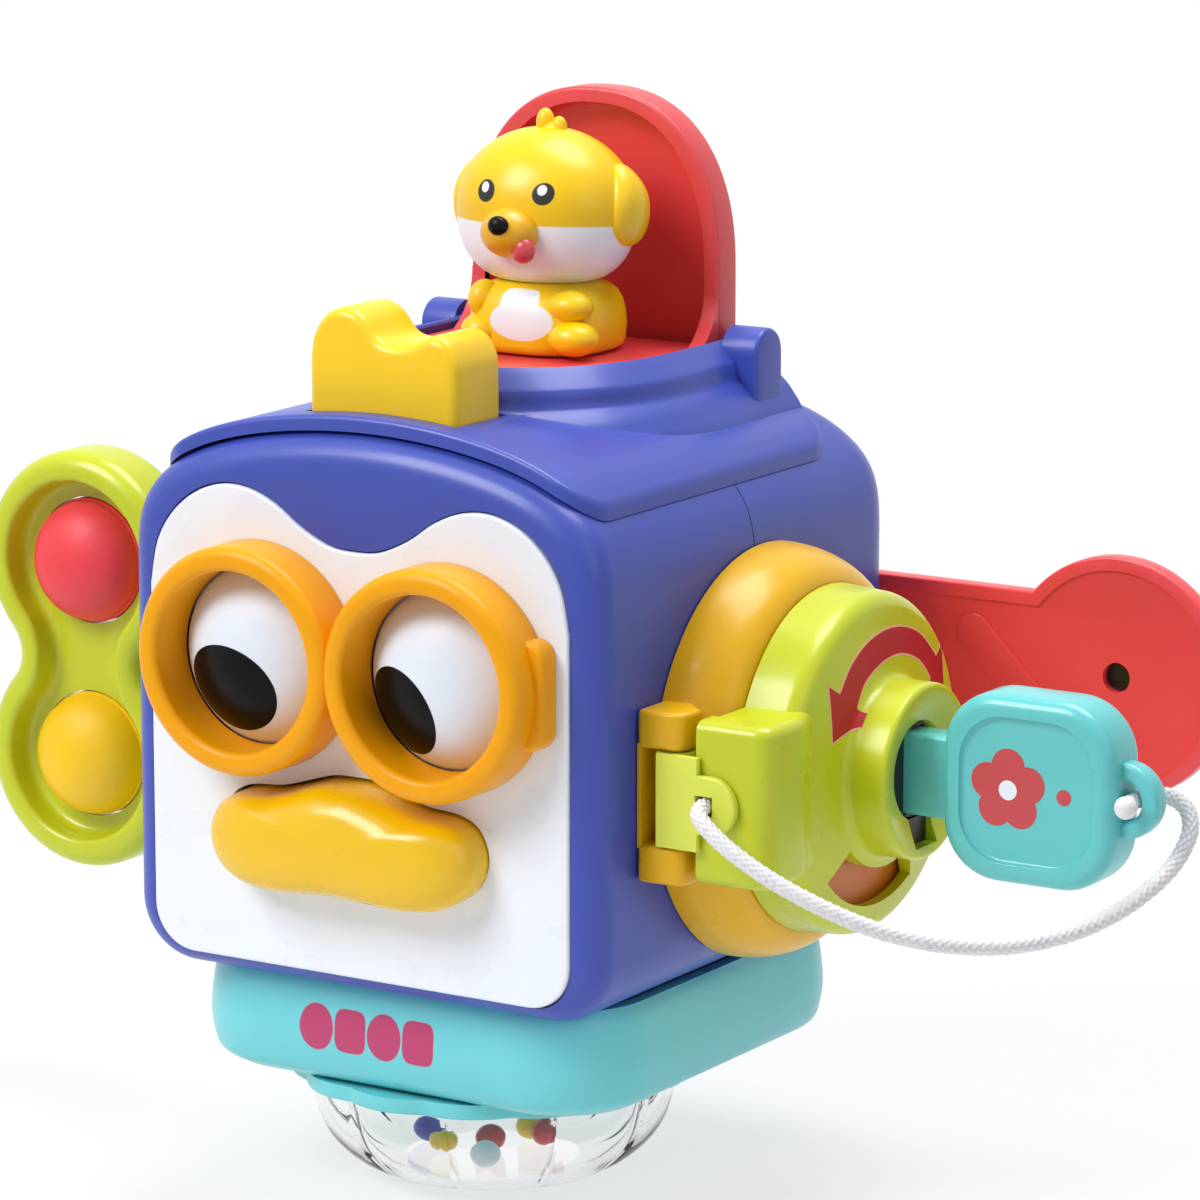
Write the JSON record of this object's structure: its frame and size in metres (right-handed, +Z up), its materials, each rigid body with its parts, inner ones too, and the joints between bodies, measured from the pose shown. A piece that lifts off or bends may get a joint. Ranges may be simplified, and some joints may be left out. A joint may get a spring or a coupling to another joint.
{
  "type": "toddler activity cube",
  "caption": "Hollow toy cube with turning eyes, a squeeze beak, a pop-up lid, a lock door with key, a wind-up bubble handle, a rear flap and a rattle foot",
  "frame": {"origin": "on the table plane, straight below the centre of the cube body", "axes": "+X to the cube's own left, the lock side; -Y is where the face looks; +Z up"},
  "size_m": [0.302, 0.1443, 0.2344],
  "materials": {
    "blue_plastic": "smooth moulded ABS, satin gloss",
    "white_plastic": "smooth moulded ABS, gloss",
    "orange_plastic": "smooth moulded ABS, gloss",
    "yellow_plastic": "smooth moulded ABS, gloss",
    "red_plastic": "smooth moulded ABS, gloss",
    "lime_plastic": "smooth moulded ABS, gloss",
    "pale_lime_plastic": "smooth moulded ABS, gloss",
    "teal_plastic": "smooth moulded ABS, gloss",
    "black_plastic": "smooth, gloss",
    "clear_plastic": "clear polystyrene, polished",
    "steel": "zinc-plated",
    "red_rubber": "soft silicone, satin",
    "yellow_rubber": "soft silicone, satin",
    "squeaker_rubber": "matt",
    "cord_fabric": "braided polyester"
  },
  "bodies": {
    "housing": {"front_shell": "blue_plastic", "rear_shell": "blue_plastic", "top_cap": "blue_plastic", "face_plate": "white_plastic", "pop_up_well": "red_plastic", "base_tray": "teal_plastic", "glasses_frame": "orange_plastic", "eye_carrier": "white_plastic", "lock_ring": "yellow_plastic", "lock_hinge_pin": "steel", "handle_bush": "lime_plastic", "click_leaf": "steel", "crown_spring": "steel", "lid_spring": "steel", "lid_hinge_pin": "steel", "flap_hinge_pin": "steel", "housing_screw_1": "steel", "housing_screw_2": "steel", "housing_screw_3": "steel", "housing_screw_4": "steel", "tray_screw_1": "steel", "tray_screw_2": "steel", "tray_screw_3": "steel", "tray_screw_4": "steel", "rattle_axle": "steel", "beak_squeaker": "squeaker_rubber"},
    "lid": {"pop_up_lid": "red_plastic", "puppy_body": "yellow_plastic", "puppy_head": "yellow_plastic"},
    "crown": {"crown_button": "yellow_plastic"},
    "left_eye": {"left_eyeball": "white_plastic", "left_pupil": "black_plastic"},
    "right_eye": {"right_eyeball": "white_plastic", "right_pupil": "black_plastic"},
    "beak_push": {"beak": "yellow_plastic"},
    "handle": {"bubble_handle": "lime_plastic", "handle_ratchet": "white_plastic"},
    "red_pop": {"red_bubble": "red_rubber"},
    "yellow_pop": {"yellow_bubble": "yellow_rubber"},
    "door": {"lock_door": "lime_plastic", "hinge_knuckle": "pale_lime_plastic"},
    "cord_body": {"key_cord": "cord_fabric"},
    "rotor": {"lock_cylinder": "black_plastic", "lock_disc": "orange_plastic", "lock_tongue": "white_plastic"},
    "key_body": {"key": "teal_plastic"},
    "flap": {"rear_flap": "red_plastic"},
    "rattle": {"rattle_ring": "teal_plastic", "rattle_dome": "clear_plastic", "rattle_bead_1": "red_plastic", "rattle_bead_2": "blue_plastic", "rattle_bead_3": "yellow_plastic", "rattle_bead_4": "red_plastic", "rattle_bead_5": "yellow_plastic", "rattle_bead_6": "teal_plastic"}
  },
  "joints": [
    {"name": "lid_hinge", "type": "hinge", "parent": "housing", "child": "lid", "pos_m": [0, 0.0305, 0.1749], "axis": [1, 0, 0], "range_deg": [0, 90], "stiffness_Nm_per_rad": 0.02, "springref_deg": -45.84, "deforming": ["lid_spring"]},
    {"name": "crown_press", "type": "slide", "parent": "housing", "child": "crown", "axis": [0, 0, -1], "range_m": [0, 0.006], "stiffness_N_per_m": 150, "springref_m": -0.004, "deforming": ["crown_spring"]},
    {"name": "left_eye_turn", "type": "hinge", "parent": "housing", "child": "left_eye", "pos_m": [-0.0237, -0.049, 0.1212], "axis": [0, 0, 1], "continuous": true},
    {"name": "right_eye_turn", "type": "hinge", "parent": "housing", "child": "right_eye", "pos_m": [0.0237, -0.049, 0.1212], "axis": [0, 0, 1], "continuous": true},
    {"name": "beak_press", "type": "slide", "parent": "housing", "child": "beak_push", "axis": [0, 1, 0], "range_m": [0, 0.0035], "stiffness_N_per_m": 250, "springref_m": -0.003, "deforming": ["beak_squeaker"]},
    {"name": "handle_turn", "type": "hinge", "parent": "housing", "child": "handle", "pos_m": [-0.06, 0.003, 0.0981], "axis": [1, 0, 0], "continuous": true},
    {"name": "red_bubble_pop", "type": "slide", "parent": "handle", "child": "red_pop", "axis": [0, 1, 0], "range_m": [0, 0.006]},
    {"name": "yellow_bubble_pop", "type": "slide", "parent": "handle", "child": "yellow_pop", "axis": [0, 1, 0], "range_m": [0, 0.006]},
    {"name": "door_hinge", "type": "hinge", "parent": "housing", "child": "door", "pos_m": [0.067, -0.044, 0.0981], "axis": [0, 0, -1], "range_deg": [0, 100]},
    {"name": "rotor_turn", "type": "hinge", "parent": "door", "child": "rotor", "pos_m": [0.0932, 0.003, 0.0981], "axis": [1, 0, 0], "range_deg": [-90, 90]},
    {"name": "key_slide", "type": "slide", "parent": "door", "child": "cord_body", "axis": [1, 0, 0], "range_m": [0, 0.02], "deforming": ["key_cord"]},
    {"name": "key_turn", "type": "hinge", "parent": "cord_body", "child": "key_body", "pos_m": [0.0932, 0.003, 0.0981], "axis": [1, 0, 0], "range_deg": [-90, 90], "deforming": ["key_cord"]},
    {"name": "flap_hinge", "type": "hinge", "parent": "housing", "child": "flap", "pos_m": [0.049, 0.0656, 0.1086], "axis": [0, 0, 1], "range_deg": [0, 180]},
    {"name": "rattle_spin", "type": "hinge", "parent": "housing", "child": "rattle", "pos_m": [0, -0.011, 0.012], "axis": [0, 0, 1], "continuous": true}
  ],
  "couplings": [
    {"joint": "key_turn", "follows": "rotor_turn", "ratio": 1}
  ]
}
